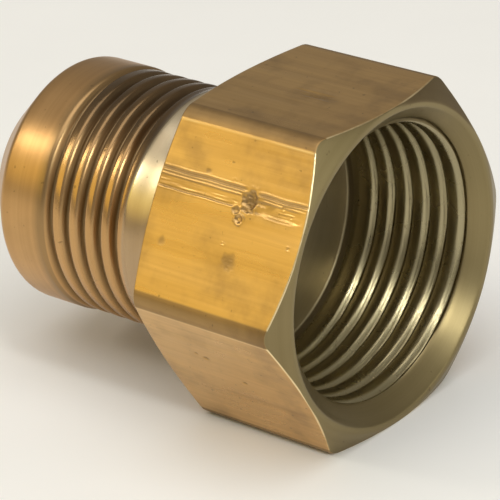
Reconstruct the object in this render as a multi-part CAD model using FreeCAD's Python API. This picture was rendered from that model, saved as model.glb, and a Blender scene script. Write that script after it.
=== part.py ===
import FreeCAD, Part
import math
import os

# One-piece brass adapter, turned from hexagon bar: a 45 degree flare end on a
# male straight thread, a wrench hexagon, and a female taper pipe thread.
# The turning axis is X, the male nose points to -X and the pipe mouth to +X.
# The adapter lies on one hexagon flat, so the axis is half the hexagon's
# width above Z = 0. Lengths are in millimetres.

# Hexagon bar
acrossFlats = 28.575
hexLength = 15.5
barCornerRadius = 1.6
mouthFaceRadius = 14.2
mouthChamferSlope = 0.54
shoulderFaceRadius = 14.0
shoulderChamferSlope = 0.33

# Male end: 7/8-14 straight thread for 5/8 in flared tube. The smooth nose and
# neck keep the blank's radius, and the crests between them are turned down.
threadPitch = 25.4 / 14
maleCylinderRadius = 11.05
maleCylinderLength = 18.8
maleCrestRadius = 10.88
crestStepLength = 0.17
noseLength = 4.65
neckLength = 4.7
maleThreadDepth = 0.98
maleThreadStart = 4.03
maleThreadTurns = 5.05
neckFilletRadius = 0.5
noseTipRadius = 7.3
noseEdgeRadius = 0.35

# Female end: 3/4-14 taper pipe thread. The hole is drilled straight to its
# floor, then reamed to the taper from above the thread's run-out.
tapDrillRadius = 11.6
tapDrillFloor = 1.8
reamedFrom = 4.8
mouthRadius = 13.65
femaleRootRadius = 13.05
femaleThreadTurns = 6.7
taperPerRadius = 1 / 32

# Waterway through the whole adapter
waterwayRadius = 6.35
floorConeDrop = 0.9
noseBoreChamfer = 0.4

flankAngle = math.radians(30)
rootFlat = 0.16
cutterOverlap = 0.25

maleLength = maleCylinderLength + maleCylinderRadius - noseTipRadius
shoulderX = (maleLength - hexLength) / 2
axisHeight = acrossFlats / 2


def revolved(outline):
    """Solid of revolution about Z from (radius, height) points."""
    points = [FreeCAD.Vector(radius, 0, height) for radius, height in outline]
    wire = Part.makePolygon(points + points[:1])
    face = Part.Face(wire)
    return face.revolve(FreeCAD.Vector(0, 0, 0), FreeCAD.Vector(0, 0, 1), 360)


def hexagonBar():
    """Hexagon prism with the rolled corners of drawn bar and both ends turned back."""
    cornerRadius = acrossFlats / 2 / math.cos(math.pi / 6)
    corners = []
    for index in range(7):
        angle = math.pi / 6 + index * math.pi / 3
        corners.append(FreeCAD.Vector(cornerRadius * math.cos(angle), cornerRadius * math.sin(angle), 0))
    prism = Part.Face(Part.makePolygon(corners)).extrude(FreeCAD.Vector(0, 0, hexLength))
    uprights = [edge for edge in prism.Edges if abs(edge.tangentAt(edge.FirstParameter).z) > 0.9]
    prism = prism.makeFillet(barCornerRadius, uprights)
    reach = cornerRadius + 1
    shoulderDrop = shoulderChamferSlope * (reach - shoulderFaceRadius)
    mouthDrop = mouthChamferSlope * (reach - mouthFaceRadius)
    envelope = revolved([
        (0, 0),
        (shoulderFaceRadius, 0),
        (reach, shoulderDrop),
        (reach, hexLength - mouthDrop),
        (mouthFaceRadius, hexLength),
        (0, hexLength),
    ])
    return prism.common(envelope)


def maleEnd():
    """Threaded cylinder blank with the 45 degree flare seat at its nose."""
    noseEnd = noseLength - maleCylinderLength
    blank = revolved([
        (0, 1),
        (maleCylinderRadius, 1),
        (maleCylinderRadius, -neckLength),
        (maleCrestRadius, -neckLength - crestStepLength),
        (maleCrestRadius, noseEnd + crestStepLength),
        (maleCylinderRadius, noseEnd),
        (maleCylinderRadius, -maleCylinderLength),
        (noseTipRadius, -maleLength),
        (0, -maleLength),
    ])
    seatEdge = []
    for edge in blank.Edges:
        height = edge.BoundBox.ZMax
        if abs(height + maleCylinderLength) < 0.01 and edge.BoundBox.ZLength < 0.01:
            seatEdge.append(edge)
    return blank.makeFillet(noseEdgeRadius, seatEdge)


def borePlug():
    """Everything bored out: countersink, reamed taper, tap drill, sloping floor and waterway."""
    reamedRadius = tapDrillRadius + (hexLength - reamedFrom) * taperPerRadius
    countersinkDepth = mouthRadius - reamedRadius
    tipBoreRadius = waterwayRadius + noseBoreChamfer
    return revolved([
        (0, hexLength + 1),
        (mouthRadius + 1, hexLength + 1),
        (reamedRadius, hexLength - countersinkDepth),
        (tapDrillRadius, reamedFrom),
        (tapDrillRadius, tapDrillFloor),
        (waterwayRadius, tapDrillFloor - floorConeDrop),
        (waterwayRadius, noseBoreChamfer - maleLength),
        (tipBoreRadius, -maleLength),
        (tipBoreRadius, -maleLength - 1),
        (0, -maleLength - 1),
    ])


def threadCutter(helix, wallRadius, rootRadius, startHeight):
    """Sweep a 60 degree groove section along a helix. The root may lie inside or outside the wall."""
    outward = 1 if rootRadius > wallRadius else -1
    openRadius = wallRadius - outward * cutterOverlap
    depth = abs(rootRadius - openRadius)
    halfOpening = rootFlat / 2 + depth * math.tan(flankAngle)
    section = Part.makePolygon([
        FreeCAD.Vector(openRadius, 0, startHeight - halfOpening),
        FreeCAD.Vector(rootRadius, 0, startHeight - rootFlat / 2),
        FreeCAD.Vector(rootRadius, 0, startHeight + rootFlat / 2),
        FreeCAD.Vector(openRadius, 0, startHeight + halfOpening),
        FreeCAD.Vector(openRadius, 0, startHeight - halfOpening),
    ])
    sweep = Part.BRepOffsetAPI.MakePipeShell(helix)
    sweep.setFrenetMode(True)
    sweep.add(section)
    sweep.build()
    sweep.makeSolid()
    return sweep.shape()


def maleThreadCutter():
    """Straight groove, from the smooth nose back to the smooth neck."""
    turnsLength = maleThreadTurns * threadPitch
    start = -maleCylinderLength + maleThreadStart
    helix = Part.makeHelix(threadPitch, turnsLength, maleCrestRadius)
    helix.translate(FreeCAD.Vector(0, 0, start))
    return threadCutter(helix, maleCrestRadius, maleCrestRadius - maleThreadDepth, start)


def femaleThreadCutter():
    """Tapered groove, shallow at the bottom and full at the mouth."""
    turnsLength = femaleThreadTurns * threadPitch
    start = hexLength + threadPitch / 2 - turnsLength
    rootRadius = femaleRootRadius - turnsLength * taperPerRadius
    taperAngle = math.degrees(math.atan(taperPerRadius))
    helix = Part.makeHelix(threadPitch, turnsLength, tapDrillRadius, taperAngle)
    helix.translate(FreeCAD.Vector(0, 0, start))
    return threadCutter(helix, tapDrillRadius, rootRadius, start)


def adapterBody():
    """Join the bar and the turned end, bore it and cut both threads."""
    blank = hexagonBar().fuse(maleEnd()).removeSplitter()
    neckRoot = []
    for edge in blank.Edges:
        box = edge.BoundBox
        if abs(box.ZMax) < 0.01 and box.ZLength < 0.01 and abs(box.XMax - maleCylinderRadius) < 0.01:
            neckRoot.append(edge)
    blank = blank.makeFillet(neckFilletRadius, neckRoot)
    bored = blank.cut(borePlug())
    threaded = bored.cut(maleThreadCutter()).cut(femaleThreadCutter())
    largest = max(threaded.Solids, key=lambda solid: solid.Volume)
    return largest


def laidOnFlat(shape):
    """Turn the axis from Z to X and set one hexagon flat on Z = 0."""
    placed = shape.copy()
    placed.rotate(FreeCAD.Vector(0, 0, 0), FreeCAD.Vector(0, 1, 0), 90)
    placed.translate(FreeCAD.Vector(shoulderX, 0, axisHeight))
    return placed


os.makedirs("parts", exist_ok=True)
adapter = laidOnFlat(adapterBody())
adapter.exportStep("parts/adapter_body.step")
box = adapter.optimalBoundingBox()
centre = adapter.CenterOfMass
print("valid", adapter.isValid(), "solids", len(adapter.Solids), "faces", len(adapter.Faces))
print("size", round(box.XLength, 3), round(box.YLength, 3), round(box.ZLength, 3))
print("volume", round(adapter.Volume, 1), "mass centre from shoulder", round(centre.x - shoulderX, 2))
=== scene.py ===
import math
import bpy
import bmesh
from mathutils import Matrix, Vector, noise
from mathutils.geometry import interpolate_bezier


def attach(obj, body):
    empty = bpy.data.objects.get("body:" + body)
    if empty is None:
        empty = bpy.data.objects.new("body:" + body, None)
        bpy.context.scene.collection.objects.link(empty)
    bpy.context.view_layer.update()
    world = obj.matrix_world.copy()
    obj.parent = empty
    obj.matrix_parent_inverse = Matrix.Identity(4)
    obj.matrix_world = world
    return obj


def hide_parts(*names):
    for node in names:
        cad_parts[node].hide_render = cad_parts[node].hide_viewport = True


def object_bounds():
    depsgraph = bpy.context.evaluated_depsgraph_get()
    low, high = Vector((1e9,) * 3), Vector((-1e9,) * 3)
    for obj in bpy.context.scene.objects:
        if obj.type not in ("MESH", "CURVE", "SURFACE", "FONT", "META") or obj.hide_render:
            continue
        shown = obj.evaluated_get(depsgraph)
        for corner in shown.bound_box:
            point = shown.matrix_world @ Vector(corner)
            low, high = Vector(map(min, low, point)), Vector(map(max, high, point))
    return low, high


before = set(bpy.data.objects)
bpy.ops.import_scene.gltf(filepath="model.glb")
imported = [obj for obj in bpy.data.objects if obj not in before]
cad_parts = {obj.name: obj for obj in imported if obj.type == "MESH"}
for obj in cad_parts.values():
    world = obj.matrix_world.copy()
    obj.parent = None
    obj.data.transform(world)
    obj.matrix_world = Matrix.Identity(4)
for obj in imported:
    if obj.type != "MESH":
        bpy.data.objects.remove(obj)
cadLow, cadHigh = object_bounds()
print("frame loaded", len(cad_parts), "nodes")

mm = 0.001
axisHeight = (cadLow.z + cadHigh.z) / 2 / mm
noseX = cadLow.x / mm
mouthX = cadHigh.x / mm

# hexagon, in millimetres like every size below
hexagon = dict(
    acrossFlats=(cadHigh.z - cadLow.z) / mm,
    length=15.5,
    cornerRound=1.6,
    shoulderFace=14.0,
    shoulderSlope=0.33,
    mouthFace=14.2,
    mouthSlope=0.54,
    edgeRound=0.12,
    rimRound=0.16,
    rimWidth=0.2,           # flat ring kept between the outer chamfer and the countersink
)
shoulderX = mouthX - hexagon["length"]

# male end: smooth nose and neck, turned-down crests between them, flare seat
maleEnd = dict(
    radius=11.05,
    cylinder=18.8,
    crest=10.88,
    crestFrom=-14.3,        # places along the axis are counted from the shoulder
    crestTo=-4.9,
    noseStep=0.4,           # lengths of the slopes between crests and the smooth ends
    neckStep=0.5,
    seatEdgeRound=0.35,
    tip=7.3,
    neckFillet=0.5,
    neckHollow=0.10,
    pitch=25.4 / 14,
    root=10.1,
    rootHalf=0.08,
    ease=0.10,
    firstGroove=-13.41,     # on the side facing -Y
    fadeIn=(-0.9, 0.1),     # in turns from that groove
    fadeOut=(4.1, 4.4),
    fadeLift=0.9,           # where it fades, the groove's root moves this far past the surface
    fullShade=0.42,         # depth at which a groove is darkest
)

# female end: countersink, reamed and drilled wall, tapered thread
pipeEnd = dict(
    mouth=13.7,
    mouthRound=0.22,
    countersinkEdge=13.65,
    drill=11.6,
    floor=1.8,
    floorDrop=0.9,
    threadFrom=2.3,
    reamedFrom=4.8,
    taper=1 / 32,
    pitch=25.4 / 14,
    root=12.45,
    rootHalf=0.08,
    ease=0.46,
    firstGroove=13.88,
    grooveAngle=290,        # degrees from the top, where that groove's place is measured
    fade=(2.7, 4.6),        # the groove deepens between these places
    fadeLift=0.3,
    runOutEase=0.24,        # extra rounding towards the floor
    easeFade=(3.0, 8.0),
    fullShade=1.1,
)

waterway = dict(radius=6.35, noseChamfer=0.4, edgeRound=0.3)

# how finely the blank is divided
division = dict(
    around=240,
    threadStep=0.14,
    plainStep=0.8,
    waterwayStep=2.5,
    neckSpacing=0.3,
    cornerSteps=5,
    hexagonSteps=(3, 4, 30, 4, 3, 3),
    acrossCuts=6,
    alongCuts=3,
)


def clamp(value):
    return max(0.0, min(1.0, value))


def smoothStep(value, low, high):
    t = clamp((value - low) / (high - low))
    return t * t * (3 - 2 * t)


def softMax(a, b, ease):
    return (a + b + math.sqrt((a - b) ** 2 + ease ** 2)) / 2


def softMin(a, b, ease):
    return (a + b - math.sqrt((a - b) ** 2 + ease ** 2)) / 2


# outline of the blank, from the waterway at the nose round to the waterway again
def blankRows():
    male, pipe, way = maleEnd, pipeEnd, waterway
    shoulder = shoulderX
    seatX = shoulder - male["cylinder"]
    fine, plain = division["threadStep"], division["plainStep"]
    reamed = pipe["drill"] + (mouthX - shoulder - pipe["reamedFrom"]) * pipe["taper"]
    countersink = pipe["countersinkEdge"] - reamed
    tipBore = way["radius"] + way["noseChamfer"]
    crestFrom = shoulder + male["crestFrom"]
    crestTo = shoulder + male["crestTo"]
    floorFoot = shoulder + pipe["floor"] - pipe["floorDrop"]
    # x, radius, rounding, spacing of the rows up to the next corner
    outside = [
        (noseX + way["noseChamfer"], way["radius"], 0.1, plain),
        (noseX, tipBore, 0.08, plain),
        (noseX, male["tip"], 0.15, plain),
        (seatX, male["radius"], male["seatEdgeRound"], plain),
        (crestFrom, male["radius"], 0.2, fine),
        (crestFrom + male["noseStep"], male["crest"], 0.2, fine),
        (crestTo - male["neckStep"], male["crest"], 0.2, fine),
        (crestTo, male["radius"], 0.2, division["neckSpacing"]),
        (shoulder, male["radius"], male["neckFillet"], plain),
        (shoulder, hexagon["shoulderFace"], 0, plain),
    ]
    inside = [
        (mouthX, hexagon["mouthFace"] - hexagon["rimWidth"], 0, plain),
        (mouthX, pipe["mouth"], pipe["mouthRound"], fine * 1.4),
        (mouthX - countersink, reamed, 0.1, fine),
        (shoulder + pipe["reamedFrom"], pipe["drill"], 0, fine),
        (shoulder + pipe["threadFrom"], pipe["drill"], 0, plain),
        (shoulder + pipe["floor"], pipe["drill"], 0.3, plain),
        (floorFoot, way["radius"], way["edgeRound"], division["waterwayStep"]),
    ]
    return outside, inside


def roundedLine(corners, closing):
    # each corner is eased and each side divided
    points = []
    chain = corners + [closing]
    for index, (x, radius, rounding, spacing) in enumerate(corners):
        corner = Vector((x, radius))
        following = Vector(chain[index + 1][:2])
        before = Vector(chain[index - 1][:2]) if index else None
        leave = corner
        if rounding and before is not None:
            reach = min(rounding, (corner - before).length * 0.45, (following - corner).length * 0.45)
            arrive = corner + (before - corner).normalized() * reach
            leave = corner + (following - corner).normalized() * reach
            handles = arrive.lerp(corner, 0.6), leave.lerp(corner, 0.6)
            curve = interpolate_bezier(arrive, *handles, leave, division["cornerSteps"])
            points += [Vector(p[:2]) for p in curve[:-1]]
        nextRounding = chain[index + 1][2]
        reachNext = min(nextRounding, (following - corner).length * 0.45)
        end = following + (corner - following).normalized() * reachNext
        count = max(1, round((end - leave).length / spacing))
        for step in range(count):
            points.append(leave.lerp(end, step / count))
    return points


# hexagon rows hold a place along the path: shoulder chamfer, edge, flat, edge, mouth chamfer, edge
def hexagonPaths():
    counts = division["hexagonSteps"]
    return [part + step / count for part, count in enumerate(counts) for step in range(count)]


# distance from the axis to the hexagon's side, at an angle from the nearest corner
def hexagonRadius(angle):
    flat = hexagon["acrossFlats"] / 2
    rounding = hexagon["cornerRound"]
    sixth = math.pi / 6
    centre = (flat - rounding) / math.cos(sixth)
    tangent = math.atan2(rounding * math.sin(sixth), centre + rounding * math.cos(sixth))
    off = abs(angle)
    if off < tangent:
        return centre * math.cos(off) + math.sqrt(rounding ** 2 - (centre * math.sin(off)) ** 2)
    return flat / math.cos(sixth - off)


# x and radius of a place on the hexagon's outline through the axis
def hexagonPoint(angle, path):
    reach = hexagonRadius(angle)
    low, high = hexagon["shoulderFace"], hexagon["mouthFace"]
    a = Vector((shoulderX, low))
    b = Vector((shoulderX + hexagon["shoulderSlope"] * (reach - low), reach))
    c = Vector((mouthX - hexagon["mouthSlope"] * (reach - high), reach))
    d = Vector((mouthX, high))
    e = Vector((mouthX, high - hexagon["rimWidth"]))
    ease = hexagon["edgeRound"]
    easeB = min(ease, (b - a).length * 0.45)
    easeC = min(ease, (d - c).length * 0.45)
    easeD = min(hexagon["rimRound"], (d - c).length * 0.45)
    flatWay = (c - b).normalized()
    beforeB = b + (a - b).normalized() * easeB
    afterB = b + flatWay * ease
    beforeC = c - flatWay * ease
    afterC = c + (d - c).normalized() * easeC
    beforeD = d + (c - d).normalized() * easeD
    afterD = d + (e - d).normalized() * easeD
    part, along = int(path), path - int(path)

    def bend(start, corner, end):
        return (1 - along) ** 2 * start + 2 * along * (1 - along) * corner + along ** 2 * end

    if part == 0:
        return a.lerp(beforeB, along)
    if part == 1:
        return bend(beforeB, b, afterB)
    if part == 2:
        return afterB.lerp(beforeC, along)
    if part == 3:
        return bend(beforeC, c, afterC)
    if part == 4:
        return afterC.lerp(beforeD, along)
    return bend(beforeD, d, afterD)


# radius of a 60 degree groove at a distance from its middle; rise is -1 when it is cut outwards
def grooveRadius(across, root, rootHalf, rise):
    return root + rise * max(0.0, abs(across) - rootHalf) / math.tan(math.pi / 6)


def maleThread(x, radius, angle):
    male = maleEnd
    turns = (angle - math.pi / 2) / math.tau
    place = (x - shoulderX - male["firstGroove"]) / male["pitch"] - turns
    nearest = round(place)
    wound = nearest + turns
    fade = smoothStep(wound, *male["fadeIn"]) * (1 - smoothStep(wound, *male["fadeOut"]))
    root = male["root"] + (male["radius"] + male["fadeLift"] - male["root"]) * (1 - fade)
    cut = grooveRadius((place - nearest) * male["pitch"], root, male["rootHalf"], 1)
    return softMin(cut, radius, male["ease"])


def pipeThread(x, radius, angle):
    pipe = pipeEnd
    turns = (angle - math.radians(pipe["grooveAngle"])) / math.tau
    place = (x - shoulderX - pipe["firstGroove"]) / pipe["pitch"] - turns
    across = (place - round(place)) * pipe["pitch"]
    fade = smoothStep(x - shoulderX, *pipe["fade"])
    root = pipe["root"] - (mouthX - x) * pipe["taper"]
    lifted = pipe["drill"] - pipe["fadeLift"]
    root = lifted + (root - lifted) * fade
    cut = grooveRadius(across, root, pipe["rootHalf"], -1)
    ease = pipe["ease"] + pipe["runOutEase"] * (1 - smoothStep(x - shoulderX, *pipe["easeFade"]))
    return softMax(cut, radius, ease) - ease * ease / (4 * ease + 8 * abs(cut - radius))


# columns are close together round the hexagon's rolled corners: share of the way from corner
# to the middle of a flat, angle from the corner
rolledCorner = math.radians(2.86)
columnPlaces = ((0, 0), (0.25, rolledCorner), (0.3, math.radians(3.4)), (1, math.pi / 6))


def columnAngle(angle):
    sixth = math.pi / 6
    corner = (2 * math.floor(angle / (2 * sixth)) + 1) * sixth
    share = abs(angle - corner) / sixth
    side = 1 if angle > corner else -1
    for (a, low), (b, high) in zip(columnPlaces, columnPlaces[1:]):
        if share <= b + 1e-6:
            return corner + side * (low + (high - low) * (share - a) / (b - a))
    return angle


# spins the outline round the axis into one closed shell
def spunBlank():
    outside, inside = blankRows()
    shell = bmesh.new()
    pathLayer = shell.verts.layers.float.new("path")
    rows = []
    hexStart = (shoulderX, hexagon["shoulderFace"], 0, 1)
    for point in roundedLine(outside[:-1], hexStart):
        rows.append((point.x, point.y, -1.0))
    # the hexagon's rows are only held apart here, and shapeShell puts them in place
    holdRadius = hexagon["acrossFlats"] * 0.6
    for path in hexagonPaths():
        rows.append((shoulderX + path, holdRadius, path))
    closing = outside[0]
    for point in roundedLine(inside, closing):
        rows.append((point.x, point.y, -1.0))
    line = []
    for x, radius, path in rows:
        vertex = shell.verts.new((x, 0, radius))
        vertex[pathLayer] = path
        line.append(vertex)
    edges = [shell.edges.new(pair) for pair in zip(line, line[1:] + line[:1])]
    bmesh.ops.spin(
        shell, geom=line + edges, cent=(0, 0, 0), axis=(1, 0, 0), dvec=(0, 0, 0),
        angle=math.tau, steps=division["around"], use_merge=True, use_duplicate=False)
    return shell, pathLayer


# how strongly each place is tinted, stained or given painted shade, from 0 to 1, and below zero where it
# is worn bright and given a painted highlight
tints = dict(
    mouth=0.5,
    corner=0.85,
    # cornerEdge and mouthEdge: edge wear, painted paler as a painted highlight
    cornerEdge=-0.5,
    mouthEdge=-1.0,
    # floor: painted shade deep in the bore
    floor=0.8,
    noseEdge=0.65,
    # the chamfer at the 330 degree corner is darkened almost fully as painted shade; the others carry
    # light stains
    chamfer={30: 0.12, 90: 0.25, 330: 0.95},    # by the angle of the corner
    otherChamfers=0.2,
    chamferFade=(0.3, 0.5),
)


# finish of a place on the hexagon
def hexagonFinish(angle, fromCorner, path):
    drawn = 1.0 if 1.5 <= path <= 3.5 else 0.0
    bored = tints["mouth"] if path > 3.5 else 0.0
    damageShadeAndGlint = 0.0
    if drawn and abs(fromCorner) < rolledCorner + 0.001:
        damageShadeAndGlint = tints["cornerEdge"] if fromCorner > rolledCorner - 0.004 else tints["corner"]
    if 3.1 < path < 3.9 and abs(fromCorner) > rolledCorner:
        damageShadeAndGlint = tints["mouthEdge"]
    # mouth chamfers: light stains, and painted shade at the top right corner
    if path >= 3.9:
        corner = round(math.degrees(angle - fromCorner)) % 360
        stainAndShade = tints["chamfer"].get(corner, tints["otherChamfers"])
        damageShadeAndGlint = stainAndShade * (1 - smoothStep(abs(fromCorner), *tints["chamferFade"]))
    return drawn, bored, 0.0, damageShadeAndGlint


# radius and finish of a place on the nose, the male thread or the neck
def malePlace(x, radius, angle):
    male = maleEnd
    place = x - shoulderX
    cavity = 0.0
    if male["crestFrom"] - 0.2 < place < male["crestTo"] + 0.3:
        cut = maleThread(x, radius, angle)
        cavity = clamp((radius - cut) / male["fullShade"])
        # the slope from the nose into the thread gets the grooves' darker colour
        if place < male["crestFrom"] + male["noseStep"]:
            cavity = max(cavity, tints["noseEdge"])
        radius = cut
    elif male["crestTo"] < place < -male["neckFillet"]:
        along = (place - male["crestTo"]) / (-male["neckFillet"] - male["crestTo"])
        radius -= male["neckHollow"] * math.sin(math.pi * clamp(along)) ** 2
    return radius, (0.0, 0.0, cavity, 0.0)


# radius and finish of a place inside the pipe end
def pipePlace(x, radius, angle):
    pipe = pipeEnd
    place = x - shoulderX
    bored = 1.0 if radius < pipe["drill"] + 0.4 else tints["mouth"]
    # painted shade: the floor of the bore is darkened
    damageShadeAndGlint = tints["floor"] if place < pipe["floor"] + 0.6 else 0.0
    cavity = 0.0
    if place > pipe["floor"] + 0.4:
        cut = pipeThread(x, radius, angle)
        cavity = clamp((cut - radius) / pipe["fullShade"])
        radius = cut
    return radius, (0.0, bored, cavity, damageShadeAndGlint)


# turns the blank into hexagon, threads and bores, and notes each point's finish: red is drawn
# bar, green is bored, blue is depth in a thread, alpha is damage and painted shade, below zero where
# worn bright and given a painted highlight
def shapeShell(shell, pathLayer, finishLayer):
    sixth = math.pi / 6
    for vertex in shell.verts:
        x, y, z = vertex.co
        angle = columnAngle(math.atan2(-y, z) % math.tau)
        radius = math.hypot(y, z)
        path = vertex[pathLayer]
        place = x - shoulderX
        finish = (0.0, 0.0, 0.0, 0.0)
        if path >= 0:
            fromCorner = (angle % (2 * sixth)) - sixth
            x, radius = hexagonPoint(fromCorner, path)
            finish = hexagonFinish(angle, fromCorner, path)
        elif 0.4 - maleEnd["cylinder"] < place < 0 and radius > maleEnd["crest"] - 0.05:
            radius, finish = malePlace(x, radius, angle)
        elif place > 0.2 and radius < hexagon["mouthFace"] - 0.05:
            radius, finish = pipePlace(x, radius, angle)
        elif radius < maleEnd["tip"] - 0.6:
            finish = (0.0, 1.0, 0.0, 0.0)
        vertex.co = (x, -radius * math.sin(angle), radius * math.cos(angle))
        vertex[finishLayer] = finish


# Damage on the flats. The key is the angle a flat faces, from the top towards the front. Places
# are along the axis from the shoulder, then down the flat from its middle.
scratches = {
    60: [
        dict(start=0.0, stop=9.3, at=-3.14, width=0.11, depth=0.08),
        dict(start=10.1, stop=15.6, at=-2.98, width=0.10, depth=0.08),
        dict(start=0.0, stop=9.0, at=-2.78, width=0.07, depth=0.05),
        dict(start=10.6, stop=15.2, at=-2.66, width=0.06, depth=0.04),
        dict(start=0.0, stop=8.4, at=-1.62, width=0.09, depth=0.055),
        dict(start=11.3, stop=14.3, at=-1.40, width=0.08, depth=0.045),
        dict(start=7.6, stop=15.0, at=-4.55, width=0.14, depth=0.03),
        dict(start=1.0, stop=8.0, at=-5.6, width=0.20, depth=0.02),
        dict(start=9.0, stop=15.0, at=-6.1, width=0.16, depth=0.02),
    ],
    0: [
        dict(start=6.1, stop=10.4, at=0.40, width=0.15, depth=0.035),
        dict(start=7.2, stop=10.6, at=1.15, width=0.13, depth=0.03),
        dict(start=2.0, stop=9.0, at=2.9, width=0.20, depth=0.03),
        dict(start=5.0, stop=14.0, at=-2.6, width=0.22, depth=0.03),
        dict(start=0.8, stop=13.0, at=5.4, width=0.18, depth=0.03),
    ],
    120: [
        dict(start=2.0, stop=11.0, at=-4.8, width=0.20, depth=0.03),
        dict(start=6.0, stop=14.0, at=2.4, width=0.16, depth=0.03),
    ],
    180: [dict(start=1.0, stop=12.0, at=1.5, width=0.2, depth=0.05)],
    240: [
        dict(start=1.5, stop=13.0, at=-2.2, width=0.18, depth=0.06),
        dict(start=4.0, stop=9.5, at=3.6, width=0.14, depth=0.05),
    ],
    300: [
        dict(start=3.0, stop=14.0, at=1.2, width=0.16, depth=0.06),
        dict(start=0.6, stop=7.0, at=-4.1, width=0.2, depth=0.04),
    ],
}
dents = {
    60: [
        dict(at=(9.62, -2.25), reach=(0.62, 0.74), depth=0.20, rim=0.02, ragged=0.5, stain=0.9),
        dict(at=(8.98, -0.66), reach=(0.30, 0.30), depth=0.12, rim=0.06, ragged=0.25, stain=0.2),
        dict(at=(8.45, -1.33), reach=(0.34, 0.26), depth=0.08, rim=0.03, ragged=0.4, stain=0.6),
        dict(at=(9.12, 2.80), reach=(0.66, 0.66), depth=0.03, rim=0.0, ragged=0.3, stain=0.65),
        dict(at=(2.06, 2.76), reach=(0.34, 0.34), depth=0.02, rim=0.0, ragged=0.3, stain=0.55),
        dict(at=(4.84, -3.75), reach=(0.30, 0.22), depth=0.02, rim=0.0, ragged=0.4, stain=0.6),
        dict(at=(13.0, -2.5), reach=(0.12, 0.22), depth=0.05, rim=0.04, ragged=0.4, stain=0.0),
        dict(at=(14.4, 0.55), reach=(0.10, 0.13), depth=0.04, rim=0.03, ragged=0.3, stain=0.0),
        dict(at=(13.9, -1.9), reach=(0.09, 0.10), depth=0.04, rim=0.03, ragged=0.3, stain=0.0),
        dict(at=(8.1, 1.6), reach=(0.12, 0.08), depth=0.03, rim=0.03, ragged=0.3, stain=0.0),
        dict(at=(7.6, -3.6), reach=(0.09, 0.09), depth=0.03, rim=0.03, ragged=0.3, stain=0.0),
    ],
    0: [dict(at=(8.9, 0.8), reach=(1.3, 0.34), depth=0.06, rim=0.0, ragged=0.3, stain=0.5)],
    120: [
        dict(at=(5.87, -2.33), reach=(0.30, 0.22), depth=0.06, rim=0.0, ragged=0.3, stain=0.8),
        dict(at=(4.94, -2.64), reach=(0.18, 0.14), depth=0.05, rim=0.0, ragged=0.3, stain=0.8),
        dict(at=(8.97, -0.11), reach=(0.24, 0.16), depth=0.06, rim=0.0, ragged=0.3, stain=0.8),
    ],
    240: [dict(at=(6.0, 0.8), reach=(0.5, 0.4), depth=0.08, rim=0.03, ragged=0.4, stain=0.7)],
    300: [dict(at=(10.5, -1.6), reach=(0.4, 0.5), depth=0.08, rim=0.03, ragged=0.4, stain=0.7)],
}
# scraped bands: along, across, depth
scrapes = {60: [((0.0, 8.6), (-2.55, -1.66), 0.045), ((10.4, 14.6), (-2.45, -1.5), 0.06)]}


# height and stain of one flat's damage
def damage(flat, along, across):
    height, stain = 0.0, 0.0
    wobble = noise.noise(Vector((along * 0.5, flat, 0.0)))
    for line in scratches.get(flat, ()):
        off = abs(across - line["at"] - 0.06 * wobble) / line["width"]
        if off > 4:
            continue
        ends = smoothStep(along, line["start"] - 0.01, line["start"] + 0.5)
        ends *= 1 - smoothStep(along, line["stop"] - 0.7, line["stop"])
        depth = line["depth"] * ends * (0.85 + 0.5 * noise.noise(Vector((along * 1.3, line["at"], 4.0))))
        height += depth * (0.4 * math.exp(-((off - 1.8) / 0.7) ** 2) - math.exp(-off * off))
        stain = max(stain, 0.8 * ends * math.exp(-off * off) * clamp(line["depth"] / 0.1))
    for dent in dents.get(flat, ()):
        u = (along - dent["at"][0]) / dent["reach"][0]
        v = (across - dent["at"][1]) / dent["reach"][1]
        if abs(u) > 3 or abs(v) > 3:
            continue
        rough = noise.noise(Vector((along * 3.1, across * 3.1, dent["depth"] * 50)))
        off = math.hypot(u, v) * (1 + dent["ragged"] * rough)
        floor = math.exp(-off ** 4) * (1 + 0.8 * noise.noise(Vector((along * 7, across * 7, 2.0))))
        height += dent["rim"] * math.exp(-((off - 1.35) / 0.3) ** 2) - dent["depth"] * floor
        stain = max(stain, dent["stain"] * math.exp(-off ** 4))
    for (start, stop), (low, high), depth in scrapes.get(flat, ()):
        inside = smoothStep(across, low - 0.12, low + 0.12)
        inside *= 1 - smoothStep(across, high - 0.12, high + 0.12)
        inside *= smoothStep(along, start - 0.3, start + 0.3)
        inside *= 1 - smoothStep(along, stop - 0.5, stop + 0.3)
        height -= depth * inside * (1 + 0.5 * noise.noise(Vector((along * 0.8, across * 9, 6.0))))
    return height, stain


# directions out of a flat and down across it
def flatFrame(flat):
    turn = math.radians(flat)
    facing = Vector((0, -math.sin(turn), math.cos(turn)))
    down = Vector((0, -math.cos(turn), -math.sin(turn)))
    return facing, down


# divides the marked parts of each flat finely, first across the flat, then along it at the dents
def refineFlats(shell, finishLayer):
    for flat in range(0, 360, 60):
        down = flatFrame(flat)[1]
        lines = [(line["at"] - 0.4, line["at"] + 0.4, line["start"], line["stop"])
                 for line in scratches.get(flat, ()) if line["depth"] > 0.04]
        spots = []
        for dent in dents.get(flat, ()):
            (along, across), (long, wide) = dent["at"], dent["reach"]
            wide, long = 1.8 * wide, 1.8 * long
            spots.append((across - wide, across + wide, along - long, along + long))
        divideFlat(shell, finishLayer, flat, lines + spots, down, division["acrossCuts"])
        divideFlat(shell, finishLayer, flat, spots, Vector((1, 0, 0)), division["alongCuts"])


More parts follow.
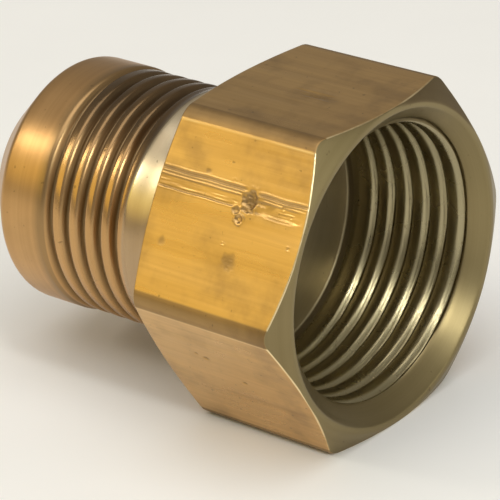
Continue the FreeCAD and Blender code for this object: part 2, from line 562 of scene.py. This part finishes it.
# cuts the edges that run one way inside the given areas of a flat
def divideFlat(shell, finishLayer, flat, areas, way, cuts):
    facing, down = flatFrame(flat)
    margin = 0.3
    edges = set()
    for face in shell.faces:
        middle = face.calc_center_median()
        if middle.dot(facing) < hexagon["acrossFlats"] / 2 - 0.06:
            continue
        if min(vertex[finishLayer][0] for vertex in face.verts) < 0.5:
            continue
        along, across = middle.x - shoulderX, middle.dot(down)
        for low, high, start, stop in areas:
            if low - margin < across < high + margin and start - margin < along < stop + margin:
                edges.update(edge for edge in face.edges if isAlong(edge, way))
                break
    if edges:
        bmesh.ops.subdivide_edges(shell, edges=sorted(edges, key=lambda edge: edge.index), cuts=cuts)
        shell.edges.index_update()


# whether an edge runs roughly along a direction
def isAlong(edge, way):
    run = edge.verts[1].co - edge.verts[0].co
    return abs(run.dot(way)) > 0.9 * run.length


flatWaves = 0.012
flatMargin = (0.6, 1.6)     # marks fade in between these distances from a corner


# presses the marks into the flats, keeping within the bar's size
def markFlats(shell, finishLayer):
    reach = hexagon["acrossFlats"] / 2
    for flat in range(0, 360, 60):
        facing, down = flatFrame(flat)
        for vertex in shell.verts:
            drawn = vertex[finishLayer][0]
            if drawn < 0.5 or vertex.co.dot(facing) < reach - 0.02:
                continue
            along, across = vertex.co.x - shoulderX, vertex.co.dot(down)
            height, stain = damage(flat, along, across)
            height += flatWaves * (noise.noise(Vector((along * 0.16, across * 0.9, flat * 0.1))) - 0.4)
            edge = smoothStep(reach * math.tan(math.pi / 6) - abs(across), *flatMargin)
            if flat in (0, 180):
                height = min(height, 0.0)
            vertex.co += facing * height * edge
            tint = vertex[finishLayer]
            if tint[3] >= 0:
                vertex[finishLayer] = (*tint[:3], max(tint[3], stain))


# a thin burr stands up along the front flat's mouth edge
burr = dict(flat=60, height=0.04, halfLength=6.8)


def raiseBurr(shell, pathLayer):
    facing, down = flatFrame(burr["flat"])
    for vertex in shell.verts:
        path = vertex[pathLayer]
        if not 2.99 < path < 3.8:
            continue
        across = vertex.co.dot(down)
        fromEnd = burr["halfLength"] - abs(across)
        if vertex.co.dot(facing) < hexagon["acrossFlats"] / 2 - 0.35 or fromEnd < 0:
            continue
        ragged = clamp(0.6 + 1.2 * noise.noise(Vector((across * 2.3, 0, 0))))
        lean = math.sin(math.pi * clamp(path - 3 + 0.2))
        vertex.co += facing * burr["height"] * lean * ragged * smoothStep(fromEnd, 0, 1)


def buildBody():
    shell, pathLayer = spunBlank()
    finishLayer = shell.verts.layers.float_color.new("finish")
    shapeShell(shell, pathLayer, finishLayer)
    raiseBurr(shell, pathLayer)
    shell.edges.index_update()
    refineFlats(shell, finishLayer)
    markFlats(shell, finishLayer)
    bmesh.ops.translate(shell, verts=shell.verts[:], vec=(0, 0, axisHeight))
    bmesh.ops.scale(shell, verts=shell.verts[:], vec=(mm, mm, mm))
    bmesh.ops.remove_doubles(shell, verts=shell.verts[:], dist=0.000002)
    bmesh.ops.recalc_face_normals(shell, faces=shell.faces[:])
    for face in shell.faces:
        face.smooth = True
    triangles = sum(len(face.verts) - 2 for face in shell.faces)
    openEdges = sum(1 for edge in shell.edges if not edge.is_manifold)
    print("body", len(shell.verts), "points", triangles, "triangles", openEdges, "open edges")
    mesh = bpy.data.meshes.new("adapterBrass")
    shell.to_mesh(mesh)
    shell.free()
    body = bpy.data.objects.new("adapterBrass", mesh)
    bpy.context.scene.collection.objects.link(body)
    return body


# a shader socket that takes part in plain arithmetic
class Wire:
    def __init__(self, tree, socket):
        self.tree = tree
        self.socket = socket

    def math(self, operation, first, second=None):
        node = self.tree.nodes.new("ShaderNodeMath")
        node.operation = operation
        for place, value in enumerate((first, second)):
            if isinstance(value, Wire):
                self.tree.links.new(value.socket, node.inputs[place])
            elif value is not None:
                node.inputs[place].default_value = value
        return Wire(self.tree, node.outputs[0])

    def __add__(self, other):
        return self.math("ADD", self, other)

    __radd__ = __add__

    def __sub__(self, other):
        return self.math("SUBTRACT", self, other)

    def __rsub__(self, other):
        return self.math("SUBTRACT", other, self)

    def __mul__(self, other):
        return self.math("MULTIPLY", self, other)

    def __pow__(self, other):
        return self.math("POWER", self, other)


# a material's node tree, with one method that adds any node and gives back one output, or all
class Shader:
    def __init__(self, name):
        self.material = bpy.data.materials.new(name)
        self.material.use_nodes = True
        self.tree = self.material.node_tree
        self.tree.nodes.clear()

    def add(self, kind, settings=None, output=0, **values):
        node = self.tree.nodes.new(kind)
        for name, value in (settings or {}).items():
            if name == "stops":
                ramp = node.color_ramp
                while len(ramp.elements) < len(value):
                    ramp.elements.new(0.5)
                for element, (position, colour) in zip(ramp.elements, value):
                    element.position = position
                    element.color = colour
            else:
                setattr(node, name, value)
        for name, value in values.items():
            socket = self.find(node, name)
            if isinstance(value, Wire):
                self.tree.links.new(value.socket, socket)
            else:
                socket.default_value = value
        if output is None:
            return [Wire(self.tree, socket) for socket in node.outputs]
        return Wire(self.tree, node.outputs[output])

    # inputs are named by identifier, or by label, with spaces left out
    def find(self, node, name):
        for socket in node.inputs:
            if socket.identifier.replace(" ", "") == name and socket.enabled:
                return socket
        for socket in node.inputs:
            if socket.name.replace(" ", "") == name and socket.enabled:
                return socket
        raise KeyError(name)

    def noise(self, vector, scale, detail=3.0, rough=0.5):
        return self.add(
            "ShaderNodeTexNoise", Vector=vector, Scale=scale, Detail=detail, Roughness=rough)

    def mixColour(self, factor, first, second, blend="MIX"):
        settings = dict(data_type="RGBA", blend_type=blend)
        return self.add(
            "ShaderNodeMix", settings, 2, Factor_Float=factor, A_Color=first, B_Color=second)

    def band(self, value, low, high):
        return self.add(
            "ShaderNodeMapRange", dict(interpolation_type="SMOOTHSTEP"),
            Value=value, FromMin=low, FromMax=high, ToMin=0.0, ToMax=1.0)


brass = dict(
    drawn=(0.72, 0.455, 0.175, 1),
    turned=(0.63, 0.38, 0.165, 1),
    # neck colours: the paler top is a painted highlight, the darker tan below is painted shade
    neckUpper=(0.85, 0.72, 0.50, 1),
    neckLower=(0.52, 0.37, 0.22, 1),
    bored=(0.46, 0.405, 0.25, 1),
    # groove colour for the pipe thread: dirt in the thread and painted shade, laid on by depth
    boredGroove=(0.33, 0.28, 0.16, 1),
    # mouth: the chamfers' and countersink's brass, darkened partly as painted shade
    mouth=(0.30, 0.24, 0.12, 1),
    # pale edge colour: edge wear and a painted highlight along the edges
    worn=(0.90, 0.72, 0.42, 1),
    # groove colour for the male thread: dirt in the thread and painted shade, laid on by depth
    groove=(0.21, 0.155, 0.08, 1),
    tarnish=(0.46, 0.29, 0.12, 1),
    # dark brown for real specks and stains, also used for painted shade
    grime=(0.13, 0.085, 0.045, 1),
    drawnRough=0.30,
    turnedRough=0.34,
    boredRough=0.27,
)


# how fine each pattern is, in turns of the noise per metre
grain = dict(
    dieFine=(60, 2600, 2600),
    dieWide=(45, 620, 620),
    ringFinest=21000.0,
    ringFine=5200.0,
    ringWide=1300.0,
    blotch=210.0,
    cloud=85.0,
    speck=1700.0,
)


# which finish each place has, and where it is
def finishMasks(shader):
    add, band = shader.add, shader.band
    centre = (0, 0, -axisHeight * mm)
    place = add("ShaderNodeTexCoord", None, 3)
    centred = add("ShaderNodeMapping", dict(vector_type="POINT"), Vector=place, Location=centre)
    x, y, z = add("ShaderNodeSeparateXYZ", None, None, Vector=centred)
    attribute = dict(attribute_name="finish", attribute_type="GEOMETRY")
    finish = add("ShaderNodeAttribute", attribute, 0)
    damageShadeAndGlint = add("ShaderNodeAttribute", attribute, 3)
    drawn, bored, cavity = add("ShaderNodeSeparateColor", None, None, Color=finish)

    # the neck behind the thread is freshly cut and paler, with a painted highlight on its upper side and
    # painted shade below
    neckStart = (shoulderX + maleEnd["crestTo"] - 0.3) * mm
    neckEnd = (shoulderX - 0.2) * mm
    neck = band(x, neckStart, neckStart + 0.0003) * (1 - band(x, neckEnd, neckEnd + 0.0002))

    # the male thread's length; its upper side is painted darker, as painted shade
    start = (shoulderX + maleEnd["crestFrom"]) * mm
    end = (shoulderX + maleEnd["crestTo"] - 0.2) * mm
    thread = band(x, start, start + 0.0008) * (1 - band(x, end, end + 0.0006))

    turned = 1 - drawn
    outside = turned * (1 - bored)
    return dict(
        centred=centred,
        x=x,
        z=z,
        radius=(y * y + z * z) ** 0.5,
        drawn=drawn,
        turned=turned,
        bored=bored,
        outside=outside,
        cavity=cavity,
        # stain: real stains, and the painted shade on the top right chamfer and the bore's floor
        stain=damageShadeAndGlint.math("MAXIMUM", damageShadeAndGlint, 0.0),
        worn=damageShadeAndGlint.math("MAXIMUM", damageShadeAndGlint * -1.0, 0.0),
        mouth=band(bored, 0.02, tints["mouth"]),
        bore=band(bored, tints["mouth"] + 0.02, 1.0),
        neck=neck * outside,
        crests=thread * (1 - cavity) * outside,
        upperThread=thread * band(z, 0.0055, 0.0100) * turned,
    )


# lines of the drawing die run along the bar, lines of the lathe tool run round the axis
def toolMarks(shader, masks):
    def dieNoise(scale, detail, rough):
        settings = dict(vector_type="POINT")
        vector = shader.add("ShaderNodeMapping", settings, Vector=masks["centred"], Scale=scale)
        return shader.noise(vector, 1.0, detail, rough)

    def ringNoise(scale, detail, rough):
        along, out = masks["x"] * scale, masks["radius"] * scale
        vector = shader.add("ShaderNodeCombineXYZ", None, X=along, Y=out, Z=0.0)
        return shader.noise(vector, 1.0, detail, rough)

    centred = masks["centred"]
    return dict(
        dieFine=dieNoise(grain["dieFine"], 4.0, 0.6),
        dieWide=dieNoise(grain["dieWide"], 2.0, 0.5),
        ringFinest=ringNoise(grain["ringFinest"], 2.0, 0.5),
        ringFine=ringNoise(grain["ringFine"], 3.0, 0.6),
        ringWide=ringNoise(grain["ringWide"], 2.0, 0.5),
        blotches=shader.noise(centred, grain["blotch"], 4.0, 0.55),
        cloudy=shader.noise(centred, grain["cloud"], 2.0, 0.5),
        specks=shader.band(shader.noise(centred, grain["speck"], 2.0, 0.5), 0.70, 0.76),
    )


def brassColour(shader, masks, marks):
    drawn, turned, cavity = masks["drawn"], masks["turned"], masks["cavity"]
    blotches, cloudy = marks["blotches"], marks["cloudy"]
    mix, band = shader.mixColour, shader.band

    base = mix(drawn, brass["turned"], brass["drawn"])
    # painted highlight and painted shade on the neck: paler towards the top, darker tan below
    neckSheenAndShade = mix(band(masks["z"], 0.0030, 0.0070), brass["neckLower"], brass["neckUpper"])
    base = mix(masks["neck"], base, neckSheenAndShade)
    base = mix(band(blotches, 0.45, 0.72) * (0.25 + drawn * 0.5), base, brass["tarnish"])
    # mouth faces darker: their own brass, and painted shade
    base = mix(masks["mouth"], base, brass["mouth"])
    base = mix(masks["bore"], base, brass["bored"])
    # thread grooves darkened by their depth: dirt in the threads and painted shade
    base = mix(cavity * 0.8, base, mix(masks["bore"], brass["groove"], brass["boredGroove"]))

    streak = 0.5 + (marks["dieFine"] - 0.5) * drawn * 0.7 + (marks["dieWide"] - 0.5) * drawn * 0.5
    streak = streak + (marks["ringFine"] - 0.5) * turned * 0.25
    streak = streak + (marks["ringWide"] - 0.5) * turned * 0.3 + (cloudy - 0.5) * 0.3
    stops = [(0.2, (0.62, 0.57, 0.50, 1)), (0.8, (1, 1, 1, 1))]
    shade = shader.add("ShaderNodeValToRGB", dict(stops=stops), Fac=streak)
    base = mix(0.7, base, shade, "MULTIPLY")

    base = mix(marks["specks"] * 0.45, base, brass["grime"])
    # painted shade: the upper side of the male thread is darkened with the dark brown colour
    base = mix(masks["upperThread"] * (0.55 + blotches * 0.6), base, brass["grime"])
    # stains and painted shade darkened with the dark brown colour
    base = mix(masks["stain"] * (0.45 + blotches * 0.4), base, brass["grime"])
    # pale edges: wear and a painted highlight
    return mix(masks["worn"] * band(cloudy + blotches, 0.75, 1.15), base, brass["worn"])


def brassRoughness(masks, marks):
    drawn, outside, bored = masks["drawn"], masks["outside"], masks["bored"]
    rough = drawn * brass["drawnRough"] + outside * brass["turnedRough"] + bored * brass["boredRough"]
    rough = rough + (marks["blotches"] - 0.5) * 0.14 + (marks["dieWide"] - 0.5) * drawn * 0.16
    rough = rough + masks["stain"] * 0.2 + masks["mouth"] * (1 - masks["bore"]) * 0.07
    return rough - masks["neck"] * 0.04 - masks["crests"] * 0.09


def brassHeight(masks, marks):
    drawn, turned = masks["drawn"], masks["turned"]
    height = marks["dieFine"] * drawn * 0.5 + marks["dieWide"] * drawn * 0.8
    height = height + marks["ringFine"] * turned * 0.3 - marks["specks"] * 0.25
    height = height + marks["ringFinest"] * (turned * 0.35 + masks["bore"] * 1.3)
    return height + marks["blotches"] * drawn * 1.6


def brassMaterial():
    shader = Shader("agedBrass")
    masks = finishMasks(shader)
    marks = toolMarks(shader, masks)
    colour = brassColour(shader, masks, marks)
    rough = brassRoughness(masks, marks)
    height = brassHeight(masks, marks)
    bump = shader.add("ShaderNodeBump", None, Strength=0.30, Distance=0.00003, Height=height)
    surface = shader.add(
        "ShaderNodeBsdfPrincipled", None, BaseColor=colour, Metallic=1.0, Roughness=rough, Normal=bump)
    shader.add("ShaderNodeOutputMaterial", None, None, Surface=surface)
    return shader.material


def floorMaterial():
    shader = Shader("paleFloor")
    grains = shader.noise(shader.add("ShaderNodeTexCoord", None, 3), 60.0, 3.0, 0.5)
    colour = shader.mixColour(grains, (0.90, 0.90, 0.89, 1), (0.94, 0.94, 0.93, 1))
    surface = shader.add("ShaderNodeBsdfPrincipled", None, BaseColor=colour, Roughness=0.6)
    shader.add("ShaderNodeOutputMaterial", None, None, Surface=surface)
    return shader.material


def makeFloor():
    sheet = bmesh.new()
    bmesh.ops.create_grid(sheet, x_segments=8, y_segments=8, size=3.0)
    bmesh.ops.translate(sheet, verts=sheet.verts[:], vec=(0, 0, cadLow.z))
    mesh = bpy.data.meshes.new("floor")
    sheet.to_mesh(mesh)
    sheet.free()
    floor = bpy.data.objects.new("floor", mesh)
    bpy.context.scene.collection.objects.link(floor)
    mesh.materials.append(floorMaterial())


def direction(azimuth, elevation):
    a, e = math.radians(azimuth), math.radians(elevation)
    return Vector((math.sin(a) * math.cos(e), -math.cos(a) * math.cos(e), math.sin(e)))


# azimuth and elevation of each lamp as seen from the fitting in degrees, then metres;
# glow is the brightness of the lamp's face
lamps = dict(
    window=dict(at=(-51, 37), distance=0.6, size=(0.095, 0.125), glow=10.0, colour=(1.0, 0.94, 0.78)),
    warmCard=dict(at=(-36, 20), distance=0.7, size=(0.60, 0.27), glow=0.90, colour=(1.0, 0.78, 0.10)),
    sideWindow=dict(at=(70, 30), distance=0.6, size=(0.038, 0.038), glow=185, colour=(0.97, 1, 0.97)),
    sideCard=dict(at=(104, 14), distance=0.7, size=(0.55, 0.30), glow=0.75, colour=(0.97, 1.0, 0.88)),
    overhead=dict(at=(20, 78), distance=0.9, size=(1.0, 1.0), glow=1.65, colour=(1.0, 0.98, 0.96)),
)
studio = dict(colour=(0.97, 0.93, 0.85, 1), strength=0.35)


def makeLamps():
    centre = Vector((0, 0, axisHeight * mm))
    for name, lamp in lamps.items():
        light = bpy.data.lights.new(name, "AREA")
        light.shape = "RECTANGLE"
        light.size, light.size_y = lamp["size"]
        light.energy = lamp["glow"] * math.pi * lamp["size"][0] * lamp["size"][1]
        light.color = lamp["colour"]
        holder = bpy.data.objects.new(name, light)
        way = direction(*lamp["at"])
        holder.location = centre + way * lamp["distance"]
        holder.rotation_mode = "QUATERNION"
        holder.rotation_quaternion = way.to_track_quat("Z", "Y")
        bpy.context.scene.collection.objects.link(holder)
    world = bpy.data.worlds.new("studio")
    world.use_nodes = True
    background = world.node_tree.nodes["Background"]
    background.inputs[0].default_value = studio["colour"]
    background.inputs[1].default_value = studio["strength"]
    bpy.context.scene.world = world


# distances in millimetres, and the target counted from the middle of the shoulder
viewpoint = dict(
    azimuth=40.08,
    elevation=25.78,
    roll=-3.35,
    distance=259.4,
    focal=217.0,
    target=(-0.14, 0, -2.36),
)


def makeCamera():
    view = viewpoint
    back = direction(view["azimuth"], view["elevation"])
    turned = math.radians(view["azimuth"])
    right = Vector((math.cos(turned), math.sin(turned), 0))
    up = back.cross(right)
    roll = math.radians(view["roll"])
    level = right.copy()
    right = math.cos(roll) * level + math.sin(roll) * up
    up = math.cos(roll) * up - math.sin(roll) * level
    data = bpy.data.cameras.new("camera")
    data.sensor_width = 36
    data.lens = view["focal"]
    data.clip_start = 0.01
    camera = bpy.data.objects.new("camera", data)
    target = Vector(view["target"]) + Vector((shoulderX, 0, axisHeight))
    turn = Matrix((right, up, back)).transposed()
    camera.matrix_world = Matrix.Translation((target + back * view["distance"]) * mm) @ turn.to_4x4()
    bpy.context.scene.collection.objects.link(camera)
    bpy.context.scene.camera = camera


body = buildBody()
body.data.materials.append(brassMaterial())
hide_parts("adapter_body")
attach(body, "root")
makeFloor()
makeLamps()
makeCamera()
bpy.context.scene.view_settings.view_transform = "Standard"
print("lamps and camera set")
